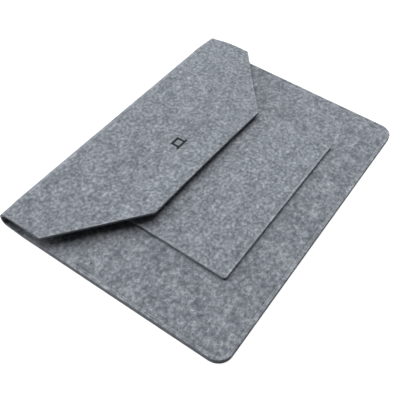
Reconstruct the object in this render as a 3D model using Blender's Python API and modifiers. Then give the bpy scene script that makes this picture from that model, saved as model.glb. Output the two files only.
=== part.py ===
"""Felt laptop sleeve lying closed on its back: one long felt piece (back panel, bend and flap), a
front panel, a pocket panel, their sewn seams, two hook-and-loop closures and a printed emblem.

Metres, +Z up, +X across the sleeve, +Y towards the fold. The origin is on the underside, in the
middle of the outline. The flap opens about two creases of the bend, each a little short of a
quarter turn, so that its free edge stays clear of the table."""

import math

import bmesh
import bpy
from mathutils import Matrix, Vector

# Driving sizes
WIDTH = 0.380
DEPTH = 0.272
FELT = 0.003
GAP = 0.0003
CROWN = 0.0048  # how far the empty compartment stands open in the middle
CORNER_RADIUS = 0.016

MOUTH_Y = 0.104  # top edge of the front panel, under the flap
CROWN_SIDE_RUN = 0.034  # width of the slope up from each side seam
CROWN_FOOT_RUN = 0.066  # length of the slope up from the bottom seam
SEAM_ALLOWANCE = 0.006  # flat margin around the front panel

POCKET_WIDTH = 0.229
POCKET_FOOT_Y = -0.0885
POCKET_MOUTH_Y = 0.044
POCKET_CORNER_RADIUS = 0.0035
POCKET_SEAM_CORNER_RADIUS = 0.002

FLAP_SHOULDER_Y = 0.0775  # where the flap's short sides turn into its diagonals
FLAP_FRONT_Y = 0.0085
FLAP_FRONT_WIDTH = 0.198
FLAP_CORNER_RADIUS = 0.0012

PAD_LENGTH = 0.046
PAD_WIDTH = 0.016
PAD_THICK = 0.0008
PAD_X = 0.058  # centre of each closure, left and right of the middle
PAD_Y = 0.026
PAD_CORNER_RADIUS = 0.0025

THREAD_RADIUS = 0.0003
PAD_THREAD_RADIUS = 0.0002
THREAD_SINK = 0.00035  # from a panel's underside to the thread that lies in it
THREAD_RISE = 0.00005  # from a panel's top face down to its thread's middle
GROOVE_RADIUS = 0.00065
SEAM_INSET = 0.004
POCKET_SEAM_INSET = 0.003
PAD_SEAM_INSET = 0.002

EMBLEM_WIDTH = 0.0190
EMBLEM_SCREEN_WIDTH = 0.0135
EMBLEM_HEIGHT = 0.0120
EMBLEM_BAR = 0.0026  # height of the bar under the screen
EMBLEM_RIM = 0.0028  # width of the screen's frame
EMBLEM_THICK = 0.0004
EMBLEM_Y = 0.050

# Sizes that follow
FOOT_Y = -DEPTH / 2
FRONT_Z = FELT + GAP  # underside of the front panel at its seams
POCKET_LIFT = FELT + GAP  # from the front panel's underside to the pocket's
LOOP_Z = FRONT_Z + CROWN + 2 * POCKET_LIFT  # underside of the loop pads
HOOK_Z = LOOP_Z + PAD_THICK + GAP
FLAP_Z = HOOK_Z + PAD_THICK + GAP
HEIGHT = FLAP_Z + FELT
BEND_RADIUS = HEIGHT / 2
BEND_Y = DEPTH / 2 - BEND_RADIUS
CREST_Y = FOOT_Y + SEAM_ALLOWANCE + CROWN_FOOT_RUN  # the crown is level from here to the mouth
POCKET_GRID_X = 0.075
CREASE_ANGLE = math.radians(45)
CREASE_GAP_ANGLE = 0.5 * GAP / BEND_RADIUS

FELT_COLOUR = (0.235, 0.262, 0.300)
THREAD_COLOUR = (0.30, 0.33, 0.37)
HOOK_COLOUR = (0.10, 0.11, 0.12)
LOOP_COLOUR = (0.13, 0.14, 0.155)
EMBLEM_COLOUR = (0.02, 0.02, 0.022)


def clear_scene():
    for obj in list(bpy.data.objects):
        bpy.data.objects.remove(obj)


def collection(name):
    made = bpy.data.collections.new(name)
    bpy.context.scene.collection.children.link(made)
    return made


def material(name, colour, roughness):
    made = bpy.data.materials.new(name)
    made.use_nodes = True
    shader = made.node_tree.nodes["Principled BSDF"]
    shader.inputs["Base Color"].default_value = (*colour, 1)
    shader.inputs["Roughness"].default_value = roughness
    shader.inputs["Metallic"].default_value = 0
    return made


def smooth_step(t):
    t = min(max(t, 0), 1)
    return t * t * (3 - 2 * t)


def crown_height(x, y):
    """How far the front panel stands up at this place: nothing along the seams, CROWN in the middle."""
    side = smooth_step((WIDTH / 2 - SEAM_ALLOWANCE - abs(x)) / CROWN_SIDE_RUN)
    foot = smooth_step((y - FOOT_Y - SEAM_ALLOWANCE) / CROWN_FOOT_RUN)
    return CROWN * side * foot


def link_mesh(name, mesh, where):
    obj = bpy.data.objects.new(name, mesh)
    where.objects.link(obj)
    return obj


def mesh_of(obj):
    """A welded mesh object made from a curve object, which it replaces."""
    bpy.context.view_layer.update()
    graph = bpy.context.evaluated_depsgraph_get()
    mesh = bpy.data.meshes.new_from_object(obj.evaluated_get(graph))
    shape = bmesh.new()
    shape.from_mesh(mesh)
    bmesh.ops.remove_doubles(shape, verts=shape.verts, dist=1e-6)
    bmesh.ops.recalc_face_normals(shape, faces=shape.faces)
    shape.to_mesh(mesh)
    shape.free()
    name = obj.name
    matrix = obj.matrix_world.copy()
    where = obj.users_collection[0]
    bpy.data.objects.remove(obj)
    made = link_mesh(name, mesh, where)
    made.matrix_world = matrix
    return made


def add_spline(curve, points, cyclic):
    spline = curve.splines.new("POLY")
    spline.points.add(len(points) - 1)
    for place, point in zip(spline.points, points):
        place.co = (*point, *[0] * (3 - len(point)), 1)
    spline.use_cyclic_u = cyclic


def filled_curve(name, outlines, thick, where):
    """A flat curve object filled between its closed outlines and extruded to this thickness."""
    curve = bpy.data.curves.new(name, "CURVE")
    curve.dimensions = "2D"
    curve.fill_mode = "BOTH"
    curve.extrude = thick / 2
    for outline in outlines:
        add_spline(curve, outline, cyclic=True)
    obj = bpy.data.objects.new(name, curve)
    where.objects.link(obj)
    return obj


def slab(name, outlines, low, high, where):
    """The closed outlines in XY as a mesh slab from low to high; a second outline is a hole."""
    obj = filled_curve(name, outlines, high - low, where)
    obj.location.z = (high + low) / 2
    return mesh_of(obj)


def strip(name, profile, where):
    """The closed profile, given as (y, z), as a mesh strip across the whole width."""
    obj = filled_curve(name, [profile], WIDTH, where)
    obj.matrix_world = Matrix(((0, 0, 1, 0), (1, 0, 0, 0), (0, 1, 0, 0), (0, 0, 0, 1)))
    return mesh_of(obj)


def tube(name, points, radius, where, cyclic=False):
    curve = bpy.data.curves.new(name, "CURVE")
    curve.dimensions = "3D"
    curve.bevel_depth = radius
    curve.bevel_resolution = 1
    curve.use_fill_caps = not cyclic
    add_spline(curve, points, cyclic)
    obj = bpy.data.objects.new(name, curve)
    where.objects.link(obj)
    return mesh_of(obj)


def boolean(obj, cutter, operation):
    cut = obj.modifiers.new(cutter.name, "BOOLEAN")
    cut.operation = operation
    cut.object = cutter


def dress(obj, look):
    obj.data.materials.clear()
    obj.data.materials.append(look)
    obj.data.shade_smooth()
    obj.data.set_sharp_from_angle(angle=math.radians(30))


def rounded(corners, radii, steps=8):
    """The outline through corners, each rounded to its own radius with an arc of steps pieces."""
    points = []
    count = len(corners)
    for i, (corner, radius) in enumerate(zip(corners, radii)):
        corner = Vector(corner)
        back = (Vector(corners[i - 1]) - corner).normalized()
        ahead = (Vector(corners[(i + 1) % count]) - corner).normalized()
        if radius == 0:
            points.append(tuple(corner))
            continue
        half = back.angle(ahead) / 2
        middle = (back + ahead).normalized() * (radius / math.sin(half))
        centre = corner + middle
        start = back * (radius / math.tan(half)) - middle
        end = ahead * (radius / math.tan(half)) - middle
        turn = start.angle_signed(end)
        for step in range(steps + 1):
            angle = -turn * step / steps
            arm = Matrix.Rotation(angle, 2) @ start
            points.append(tuple(centre + arm))
    return points


def arc(radius, first, last, steps):
    """Points (y, z) around the bend's centre line, from one angle above level to another."""
    angles = [first + (last - first) * i / steps for i in range(steps + 1)]
    return [(BEND_Y + radius * math.cos(a), BEND_RADIUS + radius * math.sin(a)) for a in angles]


def bend_section(first, last, steps):
    """The felt's section around the bend between two angles: outer face, then inner face."""
    return arc(BEND_RADIUS, first, last, steps) + arc(BEND_RADIUS - FELT, last, first, steps)


def sleeve_outline(inset=0.0):
    """Three sides of the sewn edge with rounded bottom corners, from mouth to mouth, set in by inset."""
    side = WIDTH / 2 - inset
    foot = FOOT_Y + inset
    radius = CORNER_RADIUS - inset
    corners = [(-side, MOUTH_Y), (-side, foot), (side, foot), (side, MOUTH_Y)]
    return rounded(corners, [0, radius, radius, 0])


def pocket_outline(inset=0.0, corner=POCKET_CORNER_RADIUS):
    side = POCKET_WIDTH / 2 - inset
    foot = POCKET_FOOT_Y + inset
    corners = [(-side, POCKET_MOUTH_Y), (-side, foot), (side, foot), (side, POCKET_MOUTH_Y)]
    return rounded(corners, [0, corner, corner, 0], steps=4)


def lengthwise(path, longest):
    """The path with points added so that no piece of it is longer than this."""
    points = [path[0]]
    for start, end in zip(path, path[1:]):
        pieces = math.ceil((Vector(end) - Vector(start)).length / longest)
        for i in range(1, pieces + 1):
            points.append(tuple(Vector(start).lerp(Vector(end), i / pieces)))
    return points


def grid_lines(low, high, steps):
    return [low + (high - low) * i / steps for i in range(steps + 1)]


def crowned_sheet(name, xs, ys, lift, where):
    """A felt sheet of the given grid lines that follows the crown, its underside lift above the seams."""
    shape = bmesh.new()
    bmesh.ops.create_grid(shape, x_segments=len(xs) - 1, y_segments=len(ys) - 1, size=1)
    for point in shape.verts:
        column = round((point.co.x + 1) / 2 * (len(xs) - 1))
        row = round((point.co.y + 1) / 2 * (len(ys) - 1))
        x, y = xs[column], ys[row]
        point.co = (x, y, FRONT_Z + lift + crown_height(x, y))
    mesh = bpy.data.meshes.new(name)
    shape.to_mesh(mesh)
    shape.free()
    obj = link_mesh(name, mesh, where)
    thick = obj.modifiers.new("Felt", "SOLIDIFY")
    thick.thickness = FELT
    thick.offset = 1
    thick.use_even_offset = True
    return obj


def cut_groove(panel, name, path, cutters):
    """A shallow channel along path, pressed into the felt by the stitches."""
    boolean(panel, tube(name, path, GROOVE_RADIUS, cutters), "DIFFERENCE")


def make_seam_thread(name, path, panel, where, cutters, look):
    """One thread of a lockstitch seam, lying in its own groove in the panel."""
    cut_groove(panel, name + "_groove", path, cutters)
    dress(tube(name, path, THREAD_RADIUS, where), look)


def sleeve_seam_path(z):
    return [(x, y, z) for x, y in sleeve_outline(SEAM_INSET)]


def pocket_seam_path(lift):
    """The pocket's seam on a face that lies lift above the front panel's underside."""
    outline = pocket_outline(POCKET_SEAM_INSET, POCKET_SEAM_CORNER_RADIUS)
    flat = lengthwise(outline, CROWN_FOOT_RUN / 10)
    return [(x, y, FRONT_Z + lift + crown_height(x, y)) for x, y in flat]


def make_back_panel(where, cutters, looks):
    """The flat back, its top end bent up as far as the first crease."""
    bent = bend_section(-math.pi / 2, -CREASE_ANGLE - CREASE_GAP_ANGLE, 6)
    panel = strip("back_panel", [(FOOT_Y, 0)] + bent + [(FOOT_Y, FELT)], where)
    side = WIDTH / 2
    corners = [(-side, DEPTH), (-side, FOOT_Y), (side, FOOT_Y), (side, DEPTH)]
    outline = rounded(corners, [0, CORNER_RADIUS, CORNER_RADIUS, 0])
    boolean(panel, slab("back_outline", [outline], -FELT, HEIGHT, cutters), "INTERSECT")
    path = sleeve_seam_path(THREAD_SINK)
    make_seam_thread("edge_seam_bobbin_thread", path, panel, where, cutters, looks["thread"])
    dress(panel, looks["felt"])


def make_bend_strip(where, looks):
    """The outer half of the bend, between the two creases."""
    crease = CREASE_ANGLE - CREASE_GAP_ANGLE
    dress(strip("bend_strip", bend_section(-crease, crease, 10), where), looks["felt"])


def make_flap(where, cutters, looks):
    """The flap from the second crease to its straight front edge, with two corners cut off."""
    steps = 6
    bent = bend_section(CREASE_ANGLE + CREASE_GAP_ANGLE, math.pi / 2, steps)
    outer, inner = bent[: steps + 1], bent[steps + 1 :]
    front_edge = [(FLAP_FRONT_Y, HEIGHT), (FLAP_FRONT_Y, FLAP_Z)]
    flap = strip("flap", outer + front_edge + inner, where)
    side = WIDTH / 2
    front = FLAP_FRONT_WIDTH / 2
    half = [(front, FLAP_FRONT_Y), (side, FLAP_SHOULDER_Y), (side, DEPTH)]
    corners = [(-x, y) for x, y in half[::-1]] + half
    small = FLAP_CORNER_RADIUS
    outline = rounded(corners, [0, small, small, small, small, 0], steps=3)
    boolean(flap, slab("flap_outline", [outline], 0, HEIGHT + FELT, cutters), "INTERSECT")
    dress(flap, looks["felt"])


def make_front_panel(where, cutters, looks):
    """The front, sewn to the back along three sides and crowned over the laptop's compartment."""
    side = WIDTH / 2
    slope = grid_lines(side - SEAM_ALLOWANCE, side - SEAM_ALLOWANCE - CROWN_SIDE_RUN, 6)
    half = [side] + slope + [POCKET_GRID_X]
    xs = [-x for x in half] + [0.0] + half[::-1]
    ys = [FOOT_Y] + grid_lines(FOOT_Y + SEAM_ALLOWANCE, CREST_Y, 10) + [0.0, MOUTH_Y]
    panel = crowned_sheet("front_panel", xs, ys, 0, where)
    outline = slab("front_outline", [sleeve_outline()], -FELT, HEIGHT, cutters)
    boolean(panel, outline, "INTERSECT")
    path = sleeve_seam_path(FRONT_Z + FELT - THREAD_RISE)
    make_seam_thread("edge_seam_needle_thread", path, panel, where, cutters, looks["thread"])
    path = pocket_seam_path(THREAD_SINK)
    make_seam_thread("pocket_seam_bobbin_thread", path, panel, where, cutters, looks["thread"])
    dress(panel, looks["felt"])


def make_pocket(where, cutters, looks):
    side = POCKET_WIDTH / 2
    xs = [-side, -POCKET_GRID_X, 0.0, POCKET_GRID_X, side]
    ys = grid_lines(POCKET_FOOT_Y, CREST_Y, 4) + [0.0, POCKET_MOUTH_Y]
    panel = crowned_sheet("pocket_panel", xs, ys, POCKET_LIFT, where)
    outline = slab("pocket_outline", [pocket_outline()], 0, HEIGHT, cutters)
    boolean(panel, outline, "INTERSECT")
    path = pocket_seam_path(POCKET_LIFT + FELT - THREAD_RISE)
    make_seam_thread("pocket_seam_needle_thread", path, panel, where, cutters, looks["thread"])
    dress(panel, looks["felt"])


def pad_outline(x, inset=0.0):
    across = PAD_LENGTH / 2 - inset
    along = PAD_WIDTH / 2 - inset
    corners = [
        (x - across, PAD_Y - along),
        (x + across, PAD_Y - along),
        (x + across, PAD_Y + along),
        (x - across, PAD_Y + along),
    ]
    return rounded(corners, [PAD_CORNER_RADIUS - inset / 2] * 4, steps=3)


def make_closure(side, x, where, cutters, looks):
    """One pair of pads: loops sewn to the pocket's face, hooks bonded to the flap's underside."""
    hook = slab("hook_pad_" + side, [pad_outline(x)], HOOK_Z, HOOK_Z + PAD_THICK, where)
    dress(hook, looks["hook"])
    top = LOOP_Z + PAD_THICK
    loop = slab("loop_pad_" + side, [pad_outline(x)], LOOP_Z, top, where)
    path = [(px, py, top) for px, py in pad_outline(x, PAD_SEAM_INSET)]
    radius = PAD_THREAD_RADIUS
    groove = tube("loop_pad_groove_" + side, path, radius + GAP, cutters, cyclic=True)
    boolean(loop, groove, "DIFFERENCE")
    dress(loop, looks["loop"])
    dress(tube("loop_pad_thread_" + side, path, radius, where, cyclic=True), looks["thread"])


def make_emblem(where, looks):
    """A plain pictogram of an open computer: a screen frame that stands on a wider bar."""
    side = EMBLEM_SCREEN_WIDTH / 2
    foot = EMBLEM_Y - EMBLEM_HEIGHT / 2
    bar = foot + EMBLEM_BAR
    top = EMBLEM_Y + EMBLEM_HEIGHT / 2
    half = [(EMBLEM_WIDTH / 2, foot), (EMBLEM_WIDTH / 2, bar), (side, bar), (side, top)]
    outside = half + [(-x, y) for x, y in half[::-1]]
    inner = side - EMBLEM_RIM
    inner_top = top - EMBLEM_RIM
    screen = [(-inner, bar), (inner, bar), (inner, inner_top), (-inner, inner_top)]
    z = HEIGHT + GAP
    dress(slab("flap_emblem", [outside, screen], z, z + EMBLEM_THICK, where), looks["emblem"])


def main():
    clear_scene()
    sleeve = collection("laptop_sleeve")
    cutters = collection("cutters")
    looks = {
        "felt": material("felt", FELT_COLOUR, 0.95),
        "thread": material("thread", THREAD_COLOUR, 0.7),
        "hook": material("hook_tape", HOOK_COLOUR, 0.6),
        "loop": material("loop_tape", LOOP_COLOUR, 0.95),
        "emblem": material("emblem_ink", EMBLEM_COLOUR, 0.6),
    }
    make_back_panel(sleeve, cutters, looks)
    make_bend_strip(sleeve, looks)
    make_flap(sleeve, cutters, looks)
    make_front_panel(sleeve, cutters, looks)
    make_pocket(sleeve, cutters, looks)
    make_closure("left", -PAD_X, sleeve, cutters, looks)
    make_closure("right", PAD_X, sleeve, cutters, looks)
    make_emblem(sleeve, looks)
    for cutter in cutters.objects:
        cutter.hide_render = True
        cutter.display_type = "WIRE"


main()
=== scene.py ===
"""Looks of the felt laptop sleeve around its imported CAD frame: four felt sheets with cut edges and
sewn channels, every stitch as geometry, hook-and-loop pads, a printed pictogram, and the floor, light
and camera.

Metres, in the CAD frame: +X across, +Y towards the fold, +Z up. A sheet is laid out flat first, as x
across and s along the felt, and then placed: the back, the bend and the flap are one piece of felt."""

import math
from random import Random

import bmesh
import bpy
import numpy as np
from mathutils import Matrix, Vector, noise


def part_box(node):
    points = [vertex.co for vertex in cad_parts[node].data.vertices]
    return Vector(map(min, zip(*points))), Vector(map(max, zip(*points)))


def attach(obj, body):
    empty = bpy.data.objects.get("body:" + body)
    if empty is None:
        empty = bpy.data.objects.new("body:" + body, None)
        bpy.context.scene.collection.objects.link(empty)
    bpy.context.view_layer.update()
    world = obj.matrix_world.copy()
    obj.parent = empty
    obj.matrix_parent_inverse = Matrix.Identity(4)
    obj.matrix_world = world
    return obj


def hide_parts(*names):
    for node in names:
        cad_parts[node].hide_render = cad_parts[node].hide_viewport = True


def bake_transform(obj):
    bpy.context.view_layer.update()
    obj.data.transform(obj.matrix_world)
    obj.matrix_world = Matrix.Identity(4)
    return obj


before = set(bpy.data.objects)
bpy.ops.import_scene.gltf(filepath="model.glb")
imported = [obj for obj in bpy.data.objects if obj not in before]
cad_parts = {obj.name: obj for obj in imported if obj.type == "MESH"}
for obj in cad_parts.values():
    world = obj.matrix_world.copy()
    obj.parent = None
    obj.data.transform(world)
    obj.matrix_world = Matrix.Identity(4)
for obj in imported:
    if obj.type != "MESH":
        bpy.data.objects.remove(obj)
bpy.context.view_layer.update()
MM = 0.001
TINY = 1e-9  # a length too small to matter


# ---------------------------------------------------------------- sizes

# Sizes that part.py holds and the frame doesn't give
FELT = 3.0 * MM
CORNER_RADIUS = 16.0 * MM
POCKET_CORNER_RADIUS = 3.5 * MM
SEAM_ALLOWANCE = 6.0 * MM
SHOULDER_Y = 77.5 * MM
FLAP_FRONT_SIDE = 99.0 * MM
SEAM_INSET = 4.0 * MM
POCKET_SEAM_INSET = 3.0 * MM
POCKET_SEAM_CORNER_RADIUS = 2.0 * MM
PAD_CORNER_RADIUS = 2.5 * MM
PAD_SEAM_INSET = 2.0 * MM
EMBLEM_SCREEN_SIDE = 6.75 * MM
EMBLEM_BAR = 2.6 * MM
EMBLEM_RIM = 2.8 * MM


def low(node, axis):
    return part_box(node)[0][axis]


def high(node, axis):
    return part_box(node)[1][axis]


# Sizes from the frame
SIDE = high("back_panel", 0)
FOOT = low("back_panel", 1)
HEIGHT = high("flap", 2)
BEND_RADIUS = HEIGHT / 2
BEND_Y = high("bend_strip", 1) - BEND_RADIUS
MIDDLE_RADIUS = BEND_RADIUS - FELT / 2
FRONT_Z = low("front_panel", 2)
MOUTH_Y = high("front_panel", 1)
CROWN = high("front_panel", 2) - FELT - FRONT_Z
POCKET_SIDE = high("pocket_panel", 0)
POCKET_FOOT = low("pocket_panel", 1)
POCKET_MOUTH = high("pocket_panel", 1)
POCKET_LIFT = high("pocket_panel", 2) - high("front_panel", 2)
FLAP_FRONT_Y = low("flap", 1)
PAD_Y = (low("loop_pad_left", 1) + high("loop_pad_left", 1)) / 2
PAD_HALF_WIDTH = (high("loop_pad_left", 1) - low("loop_pad_left", 1)) / 2
PAD_HALF_LENGTH = (high("loop_pad_left", 0) - low("loop_pad_left", 0)) / 2
PAD_X = (low("loop_pad_right", 0) + high("loop_pad_right", 0)) / 2
EMBLEM_SIDE = high("flap_emblem", 0)
EMBLEM_FOOT = low("flap_emblem", 1)
EMBLEM_TOP = high("flap_emblem", 1)

# The felt's mesh, its cut edges and its unevenness
CELL = 2.6 * MM
BEND_ROWS = 25  # grid lines over each half of the bend
EDGE_LINES = [0, 0.12, 0.3, 0.55, 1.1, 1.9, 2.5, 3.0, 3.5, 4.0, 4.5, 5.1, 6.2, 8.0]  # mm from a cut
EDGE_ROUND = 0.55 * MM
EDGE_BULGE = 0.12 * MM  # a cut edge stands out this far between its two rims
EDGE_BULGE_SHARE = 0.36  # from the felt's middle to the bulge's lines, of its thickness
EDGE_ROUGHNESS = 0.10 * MM
EDGE_ROUGH_SIZE = 2.2 * MM
RIM_INSET = 0.7 * MM  # a painted highlight: the paler line along a cut edge, where its top would catch the light
RIM_WIDTH = 0.8 * MM
SHARP_EDGE = 80  # degrees
FINE_WAVES = 0.10 * MM
FINE_WAVE_SIZE = 9 * MM
BROAD_WAVES = 0.16 * MM
BROAD_WAVE_SIZE = 34 * MM
BROAD_WAVE_SEED = 3  # added to the sheet's own
INNER_WAVES = 0.6  # a sheet's inner face is this much as uneven as its outer face
BACK_SEED = 1
FRONT_SEED = 2
POCKET_SEED = 3
NOISE_SHIFT = (7.31, 3.17, 1.93)  # how far apart two seeds are in the noise, in waves
CLOTH_SHIFT = (0.61, 0.37, 0.05)  # and in the felt's pattern, in metres

# Seams
CHANNEL_DEPTH = 0.26 * MM
CHANNEL_WIDTH = 2.0 * MM
DENT_DEPTH = 0.34 * MM  # under the thread itself
DENT_WIDTH = 0.6 * MM
BACK_RELIEF = 0.45  # share of a channel's full depth on the back
INSIDE_RELIEF = 0.3  # inside the front, under the pocket's seam
POCKET_RELIEF = 0.9
STITCH_PITCH = 3.3 * MM
STITCH_GAP = 0.5 * MM
THREAD_RADIUS = 0.34 * MM
STITCH_POINTS = 7
STITCH_SIDES = 8
STITCH_RISE = 1.5  # from a stitch's ends to its top, in thread radii
STITCH_DEPTH = 1.15  # how far its ends lie below the felt's face, in thread radii
STITCH_FULLNESS = 0.6  # the lower, the squarer its shoulders
STITCH_TIP = 0.72  # its ends' thickness, as a share of its middle's
BACK_TACK = 4  # stitches sewn twice at each end of an open seam
TACK_ASIDE = 1.4  # how far the second lies beside the first, in thread radii
TACK_BACK = 0.2  # and how far back, in stitch lengths
SEAM_STEP = 0.5 * MM  # between the points of a seam's path
SEAM_END = 1.0 * MM  # from a mouth to its seams' last stitches
SEAM_PRESS = 0.60 * MM  # how deep the edge seam lies in the front
BACK_PRESS = 1 / 2  # the other threads, as shares of that
POCKET_PRESS = 0.9
INSIDE_PRESS = 1 / 3
CORNER_STEPS = 12
RING_STEPS = 6

# Closures and emblem
PAD_CELL = 0.7 * MM
PAD_BASE = 0.6 * MM
PAD_SINK = 0.15 * MM  # how far a pad's tape and the emblem's film are pressed into the felt
PAD_STITCH_PITCH = 2.2 * MM
PAD_THREAD_RADIUS = 0.22 * MM
PAD_THREAD_ROOM = 0.5 * MM  # no loops this near to a pad's seam
TUFT_MARGIN = 0.8 * MM
TUFT_ROWS = 0.8  # between rows of hooks or loops, as a share of their pitch
TUFT_SIZES = (0.8, 1.15)
TUFT_SIDES = 5
HOOK_PITCH = 1.5 * MM
HOOK_JITTER = 0.15 * MM
HOOK_HEIGHT = 1.1 * MM
HOOK_BEND = 0.24 * MM
HOOK_TURNS = (0, 50, 100, 150, 200)  # degrees round its bend
HOOK_RADIUS = 0.09 * MM
LOOP_PITCH = 1.0 * MM
LOOP_JITTER = 0.35 * MM
LOOP_HEIGHT = 0.8 * MM
LOOP_WIDTH = 1.1 * MM
LOOP_POINTS = 7
LOOP_RADIUS = 0.06 * MM
FILM_CELL = 0.25 * MM
FILM_RISE = 0.16 * MM
RANDOM_SEED = 7

# Floor, light and camera
FLOOR_SIZE = 40
FLOOR_DROP = 0.2 * MM  # below the sleeve's underside
HORIZON_BLUR = 0.1
LIGHT_FROM_BELOW = 0.5
LIGHT_FROM_ABOVE = 0.05
CAMERA_PLACE = (-0.4231, -0.2293, 0.5256)
CAMERA_ANGLES = (-60.06, 49.92, 5.87)  # azimuth, elevation and roll, in degrees
CAMERA_LENS = 57.1

# How the felt has settled. It lies a little flatter at its edges than the plain CAD sheets.
SETTLED_RUN = 125 * MM  # the front rises this slowly from its seams
FLAP_SKEW = 0.029  # the flap's front edge isn't quite square to the fold
RIGHT_WING_LIFT = 2.3 * MM  # the flap's right side stands up past the fold
RIGHT_WING_RUN = 32 * MM
RIGHT_WING_FADE = 0.5  # it starts to come down again at this share of the flap's length
FRONT_CURL = 3.1 * MM  # the flap's free edge curls up past the pads
FRONT_CURL_LEAN = 1.4 * MM  # more at the left corner, less at the right
FRONT_REACH = 1.8 * MM  # the free edge has stretched forwards
FRONT_REACH_LEAN = 0.9 * MM  # more at the left corner, less at the right
FRONT_BOW = 0.8 * MM  # and a little more at both
CURL_START = 0.72  # the curl and the stretch start at this share of the flap's length
END_PINCH = 30 * MM  # the ends of the fold are squeezed over this length
PINCH_RUN_BELOW = 24 * MM
PINCH_RUN_ABOVE = 14 * MM
PINCH_LEFT = (0.22, 0.06)  # shares of the radius, under the fold and over it
PINCH_RIGHT = (0.17, 0.17)

BEND_START = BEND_Y - FOOT  # s where the felt leaves the table
FLAP_START = BEND_START + math.pi * MIDDLE_RADIUS
MIDDLE_S = (BEND_START + FLAP_START) / 2  # the outermost line of the bend, where two pieces meet
FLAP_END = FLAP_START + BEND_Y - FLAP_FRONT_Y


# ---------------------------------------------------------------- small helpers

def smooth_step(t):
    t = np.clip(t, 0, 1)
    return t * t * (3 - 2 * t)


def bump_at(value, centre, width):
    """A smooth bump, one high at its centre and a third as high a width away from it."""
    return np.exp(-(((value - centre) / width) ** 2))


def unevenness(points, size, seed):
    """Smooth noise of about one unit at each point, its waves about size across."""
    shift = Vector([seed * step for step in NOISE_SHIFT])
    return np.array([noise.noise(Vector(p) / size + shift) for p in points])


def even_lines(first, last, step):
    """Even values from first to last, as near to a step apart as goes."""
    return np.linspace(first, last, max(2, int(round(abs(last - first) / step)) + 1))


# ---------------------------------------------------------------- where the felt lies

def crown_height(x, y):
    """How far the front stands up at this place: nothing along its seams, CROWN in the middle."""
    side = smooth_step((SIDE - SEAM_ALLOWANCE - np.abs(x)) / SETTLED_RUN)
    foot = smooth_step((y - FOOT - SEAM_ALLOWANCE) / SETTLED_RUN)
    return CROWN * side * foot


def place_on_front(lift):
    """Places a sheet on the crowned front, its underside lift above the front panel's."""

    def place(x, y):
        z = FRONT_Z + lift + crown_height(x, y) + FELT / 2
        up = np.zeros((*x.shape, 3))
        up[..., 2] = 1
        return np.stack([x, y, z], -1), up

    return place


def flap_lift(x, past_fold):
    """How far the flap stands above flat, this far past the fold."""
    along = np.clip(past_fold / (FLAP_END - FLAP_START), 0, 1)
    wing = RIGHT_WING_LIFT * np.maximum(x / SIDE, 0) * smooth_step(past_fold / RIGHT_WING_RUN)
    wing = wing * (1 - smooth_step((along - RIGHT_WING_FADE) / (1 - RIGHT_WING_FADE)))
    curl = np.maximum(FRONT_CURL - FRONT_CURL_LEAN * x / FLAP_FRONT_SIDE, 0)
    return wing + curl * smooth_step((along - CURL_START) / (1 - CURL_START))


def flap_reach(x, past_fold):
    """How far the flap has moved forwards, this far past the fold."""
    along = np.clip(past_fold / (FLAP_END - FLAP_START), 0, 1)
    aside = np.clip(x / FLAP_FRONT_SIDE, -1, 1)
    reach = FRONT_REACH - FRONT_REACH_LEAN * aside + FRONT_BOW * aside**2
    return FLAP_SKEW * x * along + reach * smooth_step((along - CURL_START) / (1 - CURL_START))


def fold_pinch(x, s, angle):
    """Share of the bend's radius that is lost here to the squeezed ends of the fold."""
    below = (1 - np.sin(angle)) / 2
    left = smooth_step((-x - SIDE + END_PINCH) / END_PINCH)
    right = smooth_step((x - SIDE + END_PINCH) / END_PINCH)
    pinch = left * (PINCH_LEFT[0] * below + PINCH_LEFT[1] * (1 - below))
    pinch = pinch + right * (PINCH_RIGHT[0] * below + PINCH_RIGHT[1] * (1 - below))
    before = smooth_step(1 - (BEND_START - s) / PINCH_RUN_BELOW)
    after = smooth_step(1 - (s - FLAP_START) / PINCH_RUN_ABOVE)
    return pinch * before * after


def place_on_path(x, s):
    """Places the long felt: flat on the table, round the bend, and back as the flap, facing outwards."""
    angle = np.clip((s - BEND_START) / MIDDLE_RADIUS, 0, math.pi) - math.pi / 2
    radius = MIDDLE_RADIUS * (1 - fold_pinch(x, s, angle))
    y = BEND_Y + radius * np.cos(angle)
    y = y + np.minimum(s - BEND_START, 0) - np.maximum(s - FLAP_START, 0)
    y = y - flap_reach(x, s - FLAP_START)
    z = BEND_RADIUS + radius * np.sin(angle) + flap_lift(x, s - FLAP_START)
    out = np.stack([np.zeros_like(x), np.cos(angle), np.sin(angle)], -1)
    return np.stack([x, y, z], -1), out


def along_flap(y):
    """The flat coordinate of the flap's felt that lies at this y in CAD."""
    return FLAP_START + BEND_Y - y


def face_of(place, seed, side=1):
    """A function that puts points this far above a sheet's outer face, or below its inner one."""

    def above(x, s, height):
        middle, out = place(x, s)
        waves = felt_waves(x, s, seed)
        level = FELT / 2 + (waves if side > 0 else -waves * INNER_WAVES)
        return middle + side * out * (level + height)[..., None]

    return above


# ---------------------------------------------------------------- felt sheets

def rounded_foot(x, y, side, foot, radius):
    """Moves the points of a square-cornered grid so that the two bottom corners are round."""
    dx = side - np.abs(x)
    dy = y - foot
    inset = np.minimum(dx, dy)
    reach = np.maximum(dx, dy)
    corner = reach < radius
    ring = np.where(corner, radius - inset, 1)
    share = np.where(corner, (reach - inset) / np.maximum(ring, TINY), 0)
    angle = math.radians(45) * (1 - share)
    by_side = dx <= dy
    across = np.where(by_side, np.cos(angle), np.sin(angle))
    down = np.where(by_side, np.sin(angle), np.cos(angle))
    new_x = np.sign(x) * (side - radius + ring * across)
    new_y = foot + radius - ring * down
    return np.where(corner, new_x, x), np.where(corner, new_y, y)


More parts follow.
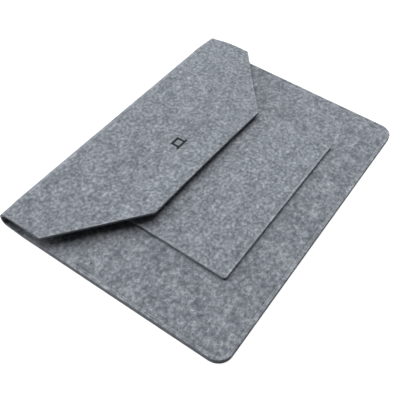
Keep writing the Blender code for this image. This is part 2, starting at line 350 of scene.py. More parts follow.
def edge_lines(first, last, cut_first=True, cut_last=True):
    """Grid lines from first to last, close together along the cut ends."""
    start = [first + d * MM for d in EDGE_LINES] if cut_first else [first]
    end = [last - d * MM for d in EDGE_LINES[::-1]] if cut_last else [last]
    middle = even_lines(start[-1], end[0], CELL)[1:-1]
    return np.array([*start, *middle, *end])


def felt_waves(x, s, seed):
    """The felt's own gentle unevenness at these flat coordinates."""
    flat = np.stack([x, s, np.zeros_like(x)], -1).reshape(-1, 3)
    waves = FINE_WAVES * unevenness(flat, FINE_WAVE_SIZE, seed)
    waves = waves + BROAD_WAVES * unevenness(flat, BROAD_WAVE_SIZE, seed + BROAD_WAVE_SEED)
    return waves.reshape(x.shape)


def both_faces(corner, cols, count):
    """One cell of a sheet's outer face, and the same cell of its inner face, count points later."""
    cell = (corner, corner + 1, corner + cols + 1, corner + cols)
    return cell, tuple(count + i for i in cell[::-1])


def border_of(rows, cols):
    """The places around a grid's border, in order, as row and column."""
    border = [(0, c) for c in range(cols)]
    border += [(r, cols - 1) for r in range(1, rows)]
    border += [(rows - 1, c) for c in range(cols - 2, -1, -1)]
    return border + [(r, 0) for r in range(rows - 2, 0, -1)]


def outward_from(middle, inset, r, c):
    """The direction out of the sheet at this place of its border, or nothing where it wasn't cut."""
    rows, cols = inset.shape
    inside = middle[min(max(r, 1), rows - 2), min(max(c, 1), cols - 2)]
    outward = middle[r, c] - inside
    if inset[r, c] > TINY:
        return 0 * outward
    return outward / np.linalg.norm(outward)


def sheet_mesh(name, x, s, inset, place, outer_relief, inner_relief, seed):
    """One thick sheet of felt as a closed mesh. x and s are grids of its flat coordinates, and inset is
    each point's distance from the cut edge. The reliefs are how far each face stands out from flat."""
    middle, out = place(x, s)
    back = np.clip(EDGE_ROUND - inset, 0, EDGE_ROUND)
    rounding = EDGE_ROUND - np.sqrt(EDGE_ROUND**2 - back**2)
    rows, cols = x.shape
    count = rows * cols
    waves = felt_waves(x, s, seed)
    outer_height = FELT / 2 - rounding + outer_relief + waves
    inner_height = -FELT / 2 + rounding - inner_relief + waves * INNER_WAVES
    points, cloth, faces, wall = [], [], [], []
    for height in (outer_height, inner_height):
        points += [*(middle + out * height[..., None]).reshape(-1, 3)]
        cloth += [*np.stack([x, s, height], -1).reshape(-1, 3)]
    for r, c in np.ndindex(rows - 1, cols - 1):
        faces.extend(both_faces(r * cols + c, cols, count))
    for r, c in border_of(rows, cols):
        outward = outward_from(middle, inset, r, c)
        column = [r * cols + c]
        for height in (FELT * EDGE_BULGE_SHARE, -FELT * EDGE_BULGE_SHARE):
            flat = (x[r, c], s[r, c], height)
            rough = noise.noise(Vector(flat) / EDGE_ROUGH_SIZE) * EDGE_ROUGHNESS
            column.append(len(points))
            points.append(middle[r, c] + out[r, c] * height + outward * (EDGE_BULGE + rough))
            cloth.append(flat)
        column.append(count + r * cols + c)
        wall.append(column)
    for here, after in zip(wall, wall[1:] + wall[:1]):
        for k in range(3):
            faces.append((here[k], here[k + 1], after[k + 1], after[k]))
    obj = mesh_object(name, points, faces)
    # A painted highlight: a paler line just inside each cut edge.
    rim_highlight = bump_at(inset, RIM_INSET, RIM_WIDTH).ravel()
    edge_points = len(points) - 2 * count
    add_attribute(obj, "cloth", np.array(cloth) + seed * np.array(CLOTH_SHIFT))
    add_attribute(obj, "cut", np.repeat([0.0, 1.0], [2 * count, edge_points]))
    add_attribute(obj, "rim", np.concatenate([rim_highlight, rim_highlight, np.zeros(edge_points)]))
    return obj


def mesh_object(name, points, faces):
    """A smooth-shaded mesh object, its faces turned outwards and without points that no face uses."""
    mesh = bpy.data.meshes.new(name)
    mesh.from_pydata([tuple(p) for p in points], [], faces)
    mesh.validate()
    shape = bmesh.new()
    shape.from_mesh(mesh)
    loose = [point for point in shape.verts if not point.link_faces]
    bmesh.ops.delete(shape, geom=loose, context="VERTS")
    bmesh.ops.recalc_face_normals(shape, faces=shape.faces)
    shape.to_mesh(mesh)
    shape.free()
    mesh.shade_smooth()
    mesh.set_sharp_from_angle(angle=math.radians(SHARP_EDGE))
    obj = bpy.data.objects.new(name, mesh)
    bpy.context.scene.collection.objects.link(obj)
    return obj


def add_attribute(obj, name, values):
    """Gives each point of the mesh a number or a vector, for its material to read."""
    kind, field = ("FLOAT_VECTOR", "vector") if values.ndim == 2 else ("FLOAT", "value")
    made = obj.data.attributes.new(name, kind, "POINT")
    made.data.foreach_set(field, values.astype(np.float32).ravel())


def seam_relief(inset, seam, strength=1.0):
    """The sewn channel: the felt is pressed thin around the seam and a little more under the thread."""
    wide = CHANNEL_DEPTH * bump_at(inset, seam, CHANNEL_WIDTH)
    narrow = DENT_DEPTH * bump_at(inset, seam, DENT_WIDTH)
    return -strength * (wide + narrow)


def make_back_felt():
    """The back panel with the lower half of the bend."""
    xs = edge_lines(-SIDE, SIDE)
    flat = edge_lines(0, BEND_START, cut_last=False)
    bend = np.linspace(BEND_START, MIDDLE_S, BEND_ROWS)[1:]
    x, s = np.meshgrid(xs, np.concatenate([flat, bend]))
    inset = np.minimum(SIDE - np.abs(x), s)
    seam = np.where(s < MOUTH_Y - FOOT, 1.0, 0.0)
    outer = seam_relief(inset, SEAM_INSET, BACK_RELIEF) * seam
    x, y = rounded_foot(x, s + FOOT, SIDE, FOOT, CORNER_RADIUS)
    none = np.zeros_like(x)
    return sheet_mesh("back_felt", x, y - FOOT, inset, place_on_path, outer, none, BACK_SEED)


def make_flap_felt():
    """The flap with the upper half of the bend. Its grid narrows along the diagonals."""
    bend = np.linspace(MIDDLE_S, FLAP_START, BEND_ROWS)[:-1]
    straight_end = FLAP_START + BEND_Y - SHOULDER_Y
    straight = even_lines(FLAP_START, straight_end, CELL)
    rows = np.concatenate([bend, straight[:-1], edge_lines(straight_end, FLAP_END, cut_first=False)])
    run = (SIDE - FLAP_FRONT_SIDE) / (FLAP_END - straight_end)
    slant = math.hypot(run, 1)
    insets = np.array(EDGE_LINES) * MM
    inner_count = int(2 * FLAP_FRONT_SIDE / CELL)
    x, s, inset = [], [], []
    for row in rows:
        past = row - straight_end
        side = np.minimum(SIDE - insets, SIDE - past * run - insets * slant)
        inner = np.linspace(-side[-1], side[-1], inner_count)[1:-1]
        line = np.concatenate([-side, inner, side[::-1]])
        to_side = np.minimum(SIDE - np.abs(line), (SIDE - past * run - np.abs(line)) / slant)
        x.append(line)
        s.append(np.full_like(line, row))
        inset.append(np.minimum(to_side, FLAP_END - row))
    x, s, inset = np.array(x), np.array(s), np.array(inset)
    none = np.zeros_like(x)
    return sheet_mesh("flap_felt", x, s, inset, place_on_path, none, none, BACK_SEED)


def make_front_felt():
    """The front panel, pressed thin along the edge seam, and inside along the pocket's."""
    x, y = np.meshgrid(edge_lines(-SIDE, SIDE), edge_lines(FOOT, MOUTH_Y))
    sewn = np.minimum(SIDE - np.abs(x), y - FOOT)
    inset = np.minimum(sewn, MOUTH_Y - y)
    outer = seam_relief(sewn, SEAM_INSET)
    x, y = rounded_foot(x, y, SIDE, FOOT, CORNER_RADIUS)
    pocket_inset = np.minimum(POCKET_SIDE - np.abs(x), y - POCKET_FOOT)
    inner = seam_relief(pocket_inset, POCKET_SEAM_INSET, INSIDE_RELIEF)
    inner = np.where(y < POCKET_MOUTH, inner, 0)
    return sheet_mesh("front_felt", x, y, inset, place_on_front(0), outer, inner, FRONT_SEED)


def make_pocket_felt():
    """The pocket panel, pressed thin along its seam."""
    x, y = np.meshgrid(edge_lines(-POCKET_SIDE, POCKET_SIDE), edge_lines(POCKET_FOOT, POCKET_MOUTH))
    sewn = np.minimum(POCKET_SIDE - np.abs(x), y - POCKET_FOOT)
    inset = np.minimum(sewn, POCKET_MOUTH - y)
    outer = seam_relief(sewn, POCKET_SEAM_INSET, POCKET_RELIEF)
    x, y = rounded_foot(x, y, POCKET_SIDE, POCKET_FOOT, POCKET_CORNER_RADIUS)
    none = np.zeros_like(x)
    place = place_on_front(POCKET_LIFT)
    return sheet_mesh("pocket_felt", x, y, inset, place, outer, none, POCKET_SEED)


# ---------------------------------------------------------------- stitches

def foot_path(side, foot, top, radius):
    """Points close together along two sides and a foot with rounded corners, from top to top."""
    points = [(-side, y) for y in even_lines(top, foot + radius, SEAM_STEP)]
    for step in range(1, CORNER_STEPS):
        a = math.radians(90 * step / CORNER_STEPS)
        points.append((-side + radius - radius * math.cos(a), foot + radius - radius * math.sin(a)))
    points += [(x, foot) for x in even_lines(-side + radius, 0, SEAM_STEP)]
    return points + [(-x, y) for x, y in points[-2::-1]]


def ring_path(across, along, radius):
    """A closed path round a rectangle of these half sizes, with rounded corners."""
    points = []
    for turn, (right, far) in enumerate(((1, 1), (-1, 1), (-1, -1), (1, -1))):
        for step in range(RING_STEPS + 1):
            a = math.radians(90 * (turn + step / RING_STEPS))
            x = right * (across - radius) + radius * math.cos(a)
            points.append((x, far * (along - radius) + radius * math.sin(a)))
    return points + points[:1]


def points_along(path, pitch):
    """Points a pitch apart along the path, as near to it as goes into the whole length evenly."""
    path = np.array(path)
    lengths = np.concatenate([[0], np.cumsum(np.linalg.norm(np.diff(path, axis=0), axis=1))])
    count = int(round(lengths[-1] / pitch))
    at = np.linspace(0, lengths[-1], count + 1)
    return np.stack([np.interp(at, lengths, path[:, i]) for i in range(path.shape[1])], -1)


def add_tube(points, faces, centres, radii, across, sides):
    """Adds a closed tube through centres, which lie in the plane square to across."""
    forward = np.gradient(centres, axis=0)
    forward = forward / np.linalg.norm(forward, axis=1)[:, None]
    first = len(points)
    angles = 2 * math.pi * np.arange(sides) / sides
    for centre, radius, normal in zip(centres, radii, np.cross(forward, across)):
        ring = np.outer(np.cos(angles), across) + np.outer(np.sin(angles), normal)
        points.extend(centre + radius * ring)
    last = first + (len(centres) - 1) * sides
    for start in range(first, last, sides):
        for j in range(sides):
            a, b = start + j, start + (j + 1) % sides
            faces.append((a, b, b + sides, a + sides))
    faces.append(tuple(range(first, first + sides))[::-1])
    faces.append(tuple(range(last, last + sides)))


def stitch(points, faces, start, end, up, radius):
    """Adds one stitch: a short thread that comes up out of the felt, lies on it and goes down again."""
    reach = end - start
    length = np.linalg.norm(reach)
    along = reach / length
    across = np.cross(along, up)
    across = across / np.linalg.norm(across)
    t = np.linspace(0, 1, STITCH_POINTS)
    rise = np.sin(math.pi * t) ** STITCH_FULLNESS
    run = STITCH_GAP / 2 + t * (length - STITCH_GAP)
    height = radius * (STITCH_RISE * rise - STITCH_DEPTH)
    centres = start + np.outer(run, along) + np.outer(height, up)
    radii = radius * (STITCH_TIP + (1 - STITCH_TIP) * rise)
    add_tube(points, faces, centres, radii, across, STITCH_SIDES)


def make_stitches(name, path, up, radius=THREAD_RADIUS, pitch=STITCH_PITCH, tacked=True):
    """A run of stitches through the path's points (x, y, z). The ends of an open seam are tacked back."""
    places = points_along(path, pitch)
    up = np.array(up, float)
    points, faces = [], []
    pairs = list(zip(places, places[1:]))
    for start, end in pairs:
        stitch(points, faces, start, end, up, radius)
    sewn_twice = pairs[:BACK_TACK] + pairs[-BACK_TACK:] if tacked else []
    for start, end in sewn_twice:
        aside = np.cross(end - start, up)
        shift = aside / np.linalg.norm(aside) * radius * TACK_ASIDE - (end - start) * TACK_BACK
        stitch(points, faces, start + shift, end + shift, up, radius)
    return mesh_object(name, points, faces)


def on_front(path, rise):
    """The flat path lifted to rise above the underside of the front panel."""
    return [(x, y, float(FRONT_Z + rise + crown_height(x, y))) for x, y in path]


def make_all_stitches():
    """The needle and bobbin threads of the edge seam and the pocket's seam."""
    edge = foot_path(
        SIDE - SEAM_INSET, FOOT + SEAM_INSET, MOUTH_Y - SEAM_END, CORNER_RADIUS - SEAM_INSET
    )
    pocket = foot_path(
        POCKET_SIDE - POCKET_SEAM_INSET,
        POCKET_FOOT + POCKET_SEAM_INSET,
        POCKET_MOUTH - SEAM_END,
        POCKET_SEAM_CORNER_RADIUS,
    )
    edge_front = on_front(edge, FELT - SEAM_PRESS)
    edge_back = [(x, y, SEAM_PRESS * BACK_PRESS) for x, y in edge]
    pocket_front = on_front(pocket, POCKET_LIFT + FELT - SEAM_PRESS * POCKET_PRESS)
    pocket_inside = on_front(pocket, SEAM_PRESS * INSIDE_PRESS)
    up, down = (0, 0, 1), (0, 0, -1)
    seams = (
        ("edge_stitches_front", edge_front, up, "edge_seam_needle_thread"),
        ("edge_stitches_back", edge_back, down, "edge_seam_bobbin_thread"),
        ("pocket_stitches_front", pocket_front, up, "pocket_seam_needle_thread"),
        ("pocket_stitches_inside", pocket_inside, down, "pocket_seam_bobbin_thread"),
    )
    for name, path, direction, node in seams:
        finish_piece(make_stitches(name, path, direction), thread_material, "sleeve", "thread", node)


# ---------------------------------------------------------------- closures and emblem

def plate(outer, inner, kept=None):
    """Points and faces of a closed plate between two grids of points, of only the kept cells."""
    rows, cols, _ = outer.shape
    count = rows * cols
    kept = np.ones((rows - 1, cols - 1), bool) if kept is None else kept
    around = np.pad(kept, 1)
    points = [*outer.reshape(-1, 3), *inner.reshape(-1, 3)]
    faces = []
    for r, c in np.argwhere(kept):
        corners, below = both_faces(int(r * cols + c), cols, count)
        faces += [corners, below]
        neighbours = (around[r, c + 1], around[r + 1, c + 2], around[r + 2, c + 1], around[r + 1, c])
        for i, there in enumerate(neighbours):
            start, end = corners[i], corners[(i + 1) % 4]
            if not there:
                faces.append((end, start, start + count, end + count))
    return points, faces


def pad_grid():
    """Flat coordinates over one pad with rounded corners, from its middle."""
    x, y = np.meshgrid(
        even_lines(-PAD_HALF_LENGTH, PAD_HALF_LENGTH, PAD_CELL),
        even_lines(-PAD_HALF_WIDTH, PAD_HALF_WIDTH, PAD_CELL),
    )
    new_x, new_y = rounded_foot(x, -np.abs(y), PAD_HALF_LENGTH, -PAD_HALF_WIDTH, PAD_CORNER_RADIUS)
    return new_x, -np.sign(y) * new_y


def tuft_places(pitch, jitter):
    """Staggered places over a pad, each moved a little at random."""
    places = []
    across = PAD_HALF_LENGTH - TUFT_MARGIN
    along = PAD_HALF_WIDTH - TUFT_MARGIN
    for row, y in enumerate(even_lines(-along, along, pitch * TUFT_ROWS)):
        for x in np.arange(-across + pitch / 2 * (row % 2), across, pitch):
            past_corner = min(abs(x) - across, abs(y) - along) + TUFT_MARGIN
            if past_corner <= 0:
                places.append((x + random.uniform(-jitter, jitter), y + random.uniform(-jitter, jitter)))
    return np.array(places)


def hook_outline():
    """A stem that bends over at its top, as lean and height."""
    turns = np.radians(HOOK_TURNS)
    lean = HOOK_BEND * (1 - np.cos(turns))
    height = HOOK_HEIGHT - HOOK_BEND + HOOK_BEND * np.sin(turns)
    return np.concatenate([[0], lean]), np.concatenate([[-PAD_SINK], height])


def loop_outline():
    """Half a ring, both its ends in the tape, as lean and height."""
    turns = np.linspace(0, math.pi, LOOP_POINTS)
    return -LOOP_WIDTH / 2 * np.cos(turns), LOOP_HEIGHT * np.sin(turns) - PAD_SINK


def add_tufts(points, faces, x, s, above, outline, radius):
    """Adds a small bent tube at each place on a tape, turned and sized at random."""
    roots = above(x, s, PAD_BASE)
    ups = above(x, s, PAD_BASE + MM) - roots
    ups = ups / np.linalg.norm(ups, axis=1)[:, None]
    for root, up in zip(roots, ups):
        turn = random.uniform(0, 2 * math.pi)
        size = random.uniform(*TUFT_SIZES)
        level = np.cross(up, (0, 1, 0))
        lean = math.cos(turn) * level + math.sin(turn) * np.cross(up, level)
        lean = lean / np.linalg.norm(lean)
        centres = root + size * (np.outer(outline[0], lean) + np.outer(outline[1], up))
        radii = np.full(len(centres), radius)
        add_tube(points, faces, centres, radii, np.cross(lean, up), TUFT_SIDES)


def make_tape(name, base, places, above, outline, radius):
    """One pad of tape on a face of felt: a woven base with hooks or loops at its places."""
    points, faces = plate(above(*base, PAD_BASE), above(*base, -PAD_SINK))
    add_tufts(points, faces, *places, above, outline, radius)
    return mesh_object(name, points, faces)


def make_hook_tape(side, centre):
    """A pad of hooks under the flap."""
    x, y = pad_grid()
    hook_x, hook_y = tuft_places(HOOK_PITCH, HOOK_JITTER).T
    base = (centre + x, along_flap(PAD_Y + y))
    places = (centre + hook_x, along_flap(PAD_Y + hook_y))
    above = face_of(place_on_path, BACK_SEED, -1)
    piece = make_tape("hook_tape_" + side, base, places, above, hook_outline(), HOOK_RADIUS)
    finish_piece(piece, hook_material, "flap", "hook_tape", "hook_pad_" + side)


def make_loop_tape(side, centre, above):
    """A pad of loops on the pocket's face, with none where its seam runs."""
    x, y = pad_grid()
    loop_x, loop_y = tuft_places(LOOP_PITCH, LOOP_JITTER).T
    past_edge = np.maximum(np.abs(loop_x) - PAD_HALF_LENGTH, np.abs(loop_y) - PAD_HALF_WIDTH)
    clear = np.abs(past_edge + PAD_SEAM_INSET) > PAD_THREAD_ROOM
    base = (centre + x, PAD_Y + y)
    places = (centre + loop_x[clear], PAD_Y + loop_y[clear])
    piece = make_tape("loop_tape_" + side, base, places, above, loop_outline(), LOOP_RADIUS)
    finish_piece(piece, loop_material, "sleeve", "loop_tape", "loop_pad_" + side)


def make_loop_stitches(side, centre, above):
    """The ring of stitches that holds a loop pad."""
    across = PAD_HALF_LENGTH - PAD_SEAM_INSET
    along = PAD_HALF_WIDTH - PAD_SEAM_INSET
    x, y = np.array(ring_path(across, along, PAD_SEAM_INSET / 2)).T
    path = above(centre + x, PAD_Y + y, PAD_BASE)
    name = "loop_tape_stitches_" + side
    up = (0, 0, 1)
    piece = make_stitches(name, path, up, PAD_THREAD_RADIUS, PAD_STITCH_PITCH, tacked=False)
    finish_piece(piece, thread_material, "sleeve", "thread", "loop_pad_thread_" + side)


def make_closure(side, centre):
    """One pair of pads: hooks under the flap, and loops sewn to the pocket's face."""
    pocket_front = face_of(place_on_front(POCKET_LIFT), POCKET_SEED)
    make_hook_tape(side, centre)
    make_loop_tape(side, centre, pocket_front)
    make_loop_stitches(side, centre, pocket_front)


def make_emblem_film():
    """The printed pictogram of an open computer: a screen's frame on a wider bar."""
    across = even_lines(-EMBLEM_SIDE, EMBLEM_SIDE, FILM_CELL)
    along = even_lines(EMBLEM_FOOT, EMBLEM_TOP, FILM_CELL)
    x, y = np.meshgrid(across, along)
    cell_x = np.abs((x[1:, 1:] + x[:-1, :-1]) / 2)
    cell_y = (y[1:, 1:] + y[:-1, :-1]) / 2
    bar = cell_y < EMBLEM_FOOT + EMBLEM_BAR
    glass = (cell_x < EMBLEM_SCREEN_SIDE - EMBLEM_RIM) & (cell_y < EMBLEM_TOP - EMBLEM_RIM)
    kept = bar | ((cell_x < EMBLEM_SCREEN_SIDE) & ~glass)
    above = face_of(place_on_path, BACK_SEED)
    s = along_flap(y)
    points, faces = plate(above(x, s, FILM_RISE), above(x, s, -PAD_SINK), kept)
    film = mesh_object("emblem_film", points, faces)
    finish_piece(film, make_ink_material(), "flap", "emblem_ink", "flap_emblem")


# ---------------------------------------------------------------- materials

# Felt: scales are waves per metre, along and across the fibres and through the felt
FIBRE_TURNS = (8, 52, 97, 143)  # which ways they lie, in degrees
FIBRE_SCALES = (150, 1150, 700)
HAIR_TURNS = (25, 78, 120)
HAIR_SCALES = (700, 4600, 2800)
CURL_SCALE = 210
CURL_REACH = 6.0 * MM
CLUMP_SCALE = 270
CLOUD_SCALE = 85
CUT_SCALES = (90, 90, 2600)
FIBRE_TONE = (0.58, -0.08)  # each layer's factor and what is added
CLUMP_TONE = (1.3, -0.65)
CLOUD_TONE = (0.50, -0.25)
HAIR_TONE = (1.5, -0.87)
CUT_SHARE = 0.8  # how far the cut edge takes its own darker colour, which is partly painted shade
RIM_SHARE = 0.7  # and the rim its paler one, a painted highlight
RIM_GAIN = 1.15
RIM_LIFT = 0.03
FIBRE_BUMP = 0.8
CLUMP_BUMP = 0.6
HAIR_BUMP = 0.5
FELT_COLOURS = [
    (0.10, (0.058, 0.067, 0.082)),
    (0.38, (0.130, 0.144, 0.164)),
    (0.60, (0.208, 0.228, 0.253)),
    (0.92, (0.405, 0.432, 0.462)),
]
# The cut edge's colours are darker than the face's: partly the denser felt of a cut, partly painted shade
# on walls that the light from above hardly reaches.
CUT_COLOURS = [(0.3, (0.095, 0.104, 0.118)), (0.7, (0.23, 0.246, 0.266))]
SHEEN_COLOUR = (0.8, 0.85, 0.95, 1)
POCKET_PALENESS = 1.12  # the pocket's felt colour is drawn this much paler than the other sheets'

THREAD_COLOURS = [(0.1, (0.15, 0.165, 0.19)), (0.8, (0.37, 0.395, 0.43))]
HOOK_COLOURS = [(0.3, (0.050, 0.055, 0.062)), (0.7, (0.095, 0.10, 0.112))]
LOOP_COLOURS = [(0.3, (0.045, 0.05, 0.057)), (0.75, (0.16, 0.17, 0.19))]
INK_COLOURS = [(0.40, (0.004, 0.0045, 0.006)), (0.90, (0.035, 0.038, 0.044))]
FLOOR_COLOURS = [(0.3, (0.29, 0.29, 0.29)), (0.7, (0.31, 0.31, 0.31))]
WHITE = (1, 1, 1, 1)


class Nodes:
    """A short way to write a material's nodes."""

    def __init__(self, name):
        self.material = bpy.data.materials.new(name)
        self.material.use_nodes = True
        self.tree = self.material.node_tree
        self.shader = self.tree.nodes["Principled BSDF"]

    def add(self, kind, inputs=(), **settings):
        node = self.tree.nodes.new(kind)
        for key, value in settings.items():
            setattr(node, key, value)
        for key, value in dict(inputs).items():
            self.put(value, node.inputs[key])
        return node

    def put(self, value, socket):
        if isinstance(value, bpy.types.NodeSocket):
            self.tree.links.new(value, socket)
        else:
            socket.default_value = value

    def math(self, operation, a, b=0.0, c=0.0):
        return self.add("ShaderNodeMath", {0: a, 1: b, 2: c}, operation=operation).outputs[0]

    def of_all(self, operation, values):
        """One value from all of these, such as the largest."""
        joined = values[0]
        for value in values[1:]:
            joined = self.math(operation, joined, value)
        return joined

    def rescaled(self, value, factor, added):
        return self.math("MULTIPLY_ADD", value, factor, added)

    def vector(self, operation, a, b=(0, 0, 0), c=(0, 0, 0)):
        inputs = {0: a, 1: b, 2: c}
        return self.add("ShaderNodeVectorMath", inputs, operation=operation).outputs[0]

    def scaled(self, vector, scale):
        inputs = {0: vector, "Scale": scale}
        return self.add("ShaderNodeVectorMath", inputs, operation="SCALE").outputs[0]

    def noise(self, vector, scale, detail=2.0, roughness=0.5, output="Fac"):
        inputs = {"Vector": vector, "Scale": scale, "Detail": detail, "Roughness": roughness}
        return self.add("ShaderNodeTexNoise", inputs).outputs[output]

    def mapping(self, vector, turn, scale):
        inputs = {"Vector": vector, "Rotation": (0, 0, math.radians(turn)), "Scale": scale}
        return self.add("ShaderNodeMapping", inputs).outputs[0]

    def ramp(self, value, stops):
        node = self.add("ShaderNodeValToRGB", {0: value})
        elements = node.color_ramp.elements
        while len(elements) < len(stops):
            elements.new(0.5)
        for element, (place, colour) in zip(elements, stops):
            element.position = place
            element.color = (*colour, 1)
        return node.outputs[0]

    def mix(self, factor, a, b):
        node = self.add("ShaderNodeMix", {0: factor}, data_type="RGBA")
        self.put(a, node.inputs[6])
        self.put(b, node.inputs[7])
        return node.outputs[2]

    def attribute(self, name, output):
        return self.add("ShaderNodeAttribute", attribute_name=name).outputs[output]

    def object_place(self):
        return self.add("ShaderNodeTexCoord").outputs["Object"]

    def bump(self, height, strength, distance):
        inputs = {"Strength": strength, "Distance": distance, "Height": height}
        self.set(Normal=self.add("ShaderNodeBump", inputs).outputs[0])

    def set(self, **inputs):
        for key, value in inputs.items():
            self.put(value, self.shader.inputs[key.replace("_", " ")])


def fibre_layers(n, cloth, turns, scales, detail, roughness):
    """Noise drawn out into fibres, once for each way that they lie."""
    layers = []
    for turn in turns:
        stretched = n.mapping(cloth, turn, scales)
        layers.append(n.noise(stretched, scale=1.0, detail=detail, roughness=roughness))
    return layers


def make_felt_material(name, paleness):
    """Heathered felt: curly light and dark fibres, small clumps, and a darker cut edge that is partly
    denser felt and partly painted shade, with a painted highlight along its top rim.
    """
    n = Nodes(name)
    cloth = n.attribute("cloth", "Vector")
    cut = n.attribute("cut", "Fac")
    rim = n.attribute("rim", "Fac")
    curl = n.noise(cloth, CURL_SCALE, detail=2, roughness=0.6, output="Color")
    curl = n.vector("SUBTRACT", curl, (0.5, 0.5, 0.5))
    curled = n.vector("ADD", cloth, n.scaled(curl, CURL_REACH))
    strands = fibre_layers(n, curled, FIBRE_TURNS, FIBRE_SCALES, detail=2.5, roughness=0.62)
    fine = fibre_layers(n, curled, HAIR_TURNS, HAIR_SCALES, detail=2.0, roughness=0.6)
    light = n.of_all("MAXIMUM", strands)
    fibres = n.math("ADD", light, n.of_all("MINIMUM", strands))
    hairs = n.of_all("MAXIMUM", fine)
    clumps = n.noise(cloth, CLUMP_SCALE, detail=3, roughness=0.62)
    clouds = n.noise(cloth, CLOUD_SCALE, detail=2, roughness=0.55)
    layers = (
        n.rescaled(fibres, *FIBRE_TONE),
        n.rescaled(clumps, *CLUMP_TONE),
        n.rescaled(clouds, *CLOUD_TONE),
        n.rescaled(hairs, *HAIR_TONE),
    )
    colour = n.ramp(n.of_all("ADD", layers), FELT_COLOURS)
    # The cut edge's darker colour: partly denser felt, partly painted shade.
    pressed = n.noise(n.mapping(cloth, 0, CUT_SCALES), scale=1.0, detail=2, roughness=0.6)
    colour = n.mix(n.math("MULTIPLY", cut, CUT_SHARE), colour, n.ramp(pressed, CUT_COLOURS))
    # A painted highlight: the rim along a cut edge is drawn paler.
    rim_highlight = n.vector("MULTIPLY_ADD", colour, [RIM_GAIN] * 3, [RIM_LIFT] * 3)
    colour = n.mix(n.math("MULTIPLY", rim, RIM_SHARE), colour, rim_highlight)
    n.set(Base_Color=n.scaled(colour, paleness), Roughness=0.95, Specular_IOR_Level=0.15)
    n.set(Sheen_Weight=0.25, Sheen_Roughness=0.6, Sheen_Tint=SHEEN_COLOUR)
    bumps = (n.math("MULTIPLY", light, FIBRE_BUMP), n.math("MULTIPLY", clumps, CLUMP_BUMP))
    height = n.rescaled(hairs, HAIR_BUMP, n.of_all("ADD", bumps))
    n.bump(height, strength=0.45, distance=0.7 * MM)
    return n.material


def make_thread_material():
    """Twisted polyester thread, a little smoother and paler than the felt."""
    n = Nodes("sewing_thread")
    place = n.object_place()
    wave = {"Vector": place, "Scale": 620.0, "Distortion": 1.5, "Detail": 1.0}
    twist = n.add("ShaderNodeTexWave", wave, bands_direction="DIAGONAL").outputs["Fac"]
    tone = n.rescaled(n.noise(place, scale=300), factor=0.5, added=0.1)
    tone = n.rescaled(twist, factor=0.35, added=tone)
    n.set(Base_Color=n.ramp(tone, THREAD_COLOURS), Roughness=0.6, Sheen_Weight=0.2)
    n.bump(twist, strength=0.6, distance=0.2 * MM)
    return n.material


def make_hook_material():
    """Moulded nylon, dark and a little shiny."""
    n = Nodes("hook_tape")
    grain = n.noise(n.object_place(), scale=900)
    roughness = n.rescaled(grain, factor=0.25, added=0.35)
    n.set(Base_Color=n.ramp(grain, HOOK_COLOURS), Roughness=roughness)
    return n.material


def make_loop_material():
    """Brushed nylon, dark and fuzzy."""
    n = Nodes("loop_tape")
    fuzz = n.noise(n.object_place(), scale=1400, detail=3, roughness=0.7)
    n.set(Base_Color=n.ramp(fuzz, LOOP_COLOURS), Roughness=0.95, Sheen_Weight=0.4)
    n.bump(fuzz, strength=0.9, distance=0.6 * MM)
    return n.material


def make_ink_material():
    """Matte heat-transfer film, broken a little by the fibres under it."""
    n = Nodes("emblem_ink")
    wear = n.noise(n.object_place(), scale=1500, detail=3, roughness=0.65)
    roughness = n.rescaled(wear, factor=0.2, added=0.65)
    n.set(Base_Color=n.ramp(wear, INK_COLOURS), Roughness=roughness, Specular_IOR_Level=0.2)
    n.bump(wear, strength=0.5, distance=0.3 * MM)
    return n.material


def make_floor_material():
    """A pale floor that glows almost white itself, so that it takes only a faint shadow."""
    n = Nodes("pale_floor")
    tone = n.noise(n.object_place(), scale=3)
    n.set(Base_Color=n.ramp(tone, FLOOR_COLOURS), Roughness=0.9, Specular_IOR_Level=0.1)
    n.set(Emission_Color=WHITE, Emission_Strength=0.92)
    return n.material


# ---------------------------------------------------------------- pieces

def finish_piece(piece, material, body, slot, *nodes):
    """Dresses a piece, puts it under the body that moves it if one is given, and hides the nodes that it
    shows.
    """
    piece.data.materials.append(material)
    if body:
        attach(piece, body)
    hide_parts(*nodes)


def make_felts():
    """The four sheets of felt. The long one is two pieces that meet in the middle of the bend."""
    back = make_back_felt()
    finish_piece(back, felt_material, None, "felt", "back_panel", "bend_strip")
    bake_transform(back)
    flap = make_flap_felt()
    finish_piece(flap, felt_material, None, "felt", "flap")
    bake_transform(flap)
    front = make_front_felt()
    finish_piece(front, felt_material, "sleeve", "felt", "front_panel")
    pocket = make_pocket_felt()
    finish_piece(pocket, pocket_material, "sleeve", "felt", "pocket_panel")


# ---------------------------------------------------------------- floor, light and camera

def make_floor():
    """A wide floor just under the sleeve. It throws no light of its own on the felt."""
    bpy.ops.mesh.primitive_plane_add(size=FLOOR_SIZE, location=(0, 0, -FLOOR_DROP))
    floor = bpy.context.object
    floor.name = "floor"
    floor.data.materials.append(make_floor_material())
    floor.visible_diffuse = False


def add_area(name, direction, distance, size, power, colour):
    """A square soft light that looks at the sleeve from this direction."""
    data = bpy.data.lights.new(name, "AREA")
    data.size = size
    data.energy = power
    data.color = colour
    lamp = bpy.data.objects.new(name, data)
    bpy.context.scene.collection.objects.link(lamp)
    place = Vector(direction).normalized() * distance
    lamp.location = place
    lamp.rotation_euler = (-place).to_track_quat("-Z", "Y").to_euler()


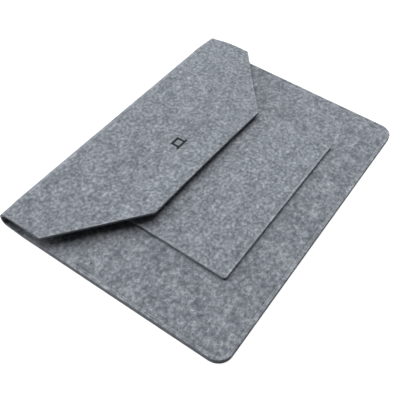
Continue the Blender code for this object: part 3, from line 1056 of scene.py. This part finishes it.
def make_world():
    """A dim room that a pale table throws light up into. Only the camera sees it white."""
    world = bpy.data.worlds.new("studio")
    world.use_nodes = True
    tree = world.node_tree
    background = tree.nodes["Background"]
    direction = tree.nodes.new("ShaderNodeTexCoord")
    split = tree.nodes.new("ShaderNodeSeparateXYZ")
    tree.links.new(direction.outputs["Generated"], split.inputs[0])
    by_height = tree.nodes.new("ShaderNodeMapRange")
    by_height.inputs["From Min"].default_value = -HORIZON_BLUR
    by_height.inputs["From Max"].default_value = HORIZON_BLUR
    by_height.inputs["To Min"].default_value = LIGHT_FROM_BELOW
    by_height.inputs["To Max"].default_value = LIGHT_FROM_ABOVE
    tree.links.new(split.outputs["Z"], by_height.inputs["Value"])
    seen = tree.nodes.new("ShaderNodeLightPath").outputs["Is Camera Ray"]
    strength = tree.nodes.new("ShaderNodeMath")
    strength.operation = "MAXIMUM"
    tree.links.new(by_height.outputs[0], strength.inputs[0])
    tree.links.new(seen, strength.inputs[1])
    background.inputs["Color"].default_value = WHITE
    tree.links.new(strength.outputs[0], background.inputs["Strength"])
    bpy.context.scene.world = world


def make_light():
    """A large soft box high up behind the right side, and a low weak one behind the left end."""
    make_world()
    add_area(
        "soft_box",
        direction=(0.47, 0.34, 1.0),
        distance=2.2,
        size=2.5,
        power=81,
        colour=(1, 0.995, 0.985),
    )
    add_area(
        "low_fill",
        direction=(-0.33, 0.85, 0.35),
        distance=3.0,
        size=1.3,
        power=60,
        colour=(1, 1, 1),
    )
    bpy.context.scene.view_settings.view_transform = "Standard"


def make_camera():
    """The camera stands over the sleeve's left front corner, rolled a little."""
    azimuth, elevation, roll = (math.radians(a) for a in CAMERA_ANGLES)
    back = Vector((
        math.sin(azimuth) * math.cos(elevation),
        -math.cos(azimuth) * math.cos(elevation),
        math.sin(elevation),
    ))
    right = (-back).cross(Vector((0, 0, 1))).normalized()
    up = right.cross(-back)
    tilted_right = math.cos(roll) * right + math.sin(roll) * up
    tilted_up = math.cos(roll) * up - math.sin(roll) * right
    data = bpy.data.cameras.new("camera")
    data.sensor_width = 36
    data.lens = CAMERA_LENS
    data.clip_start = 0.01
    camera = bpy.data.objects.new("camera", data)
    bpy.context.scene.collection.objects.link(camera)
    turn = Matrix((tilted_right, tilted_up, back)).transposed()
    camera.matrix_world = Matrix.Translation(CAMERA_PLACE) @ turn.to_4x4()
    bpy.context.scene.camera = camera


random = Random(RANDOM_SEED)
felt_material = make_felt_material("heathered_felt", 1.0)
pocket_material = make_felt_material("pocket_felt", POCKET_PALENESS)
thread_material = make_thread_material()
hook_material = make_hook_material()
loop_material = make_loop_material()
make_felts()
make_all_stitches()
make_closure("left", -PAD_X)
make_closure("right", PAD_X)
make_emblem_film()
make_floor()
make_light()
make_camera()
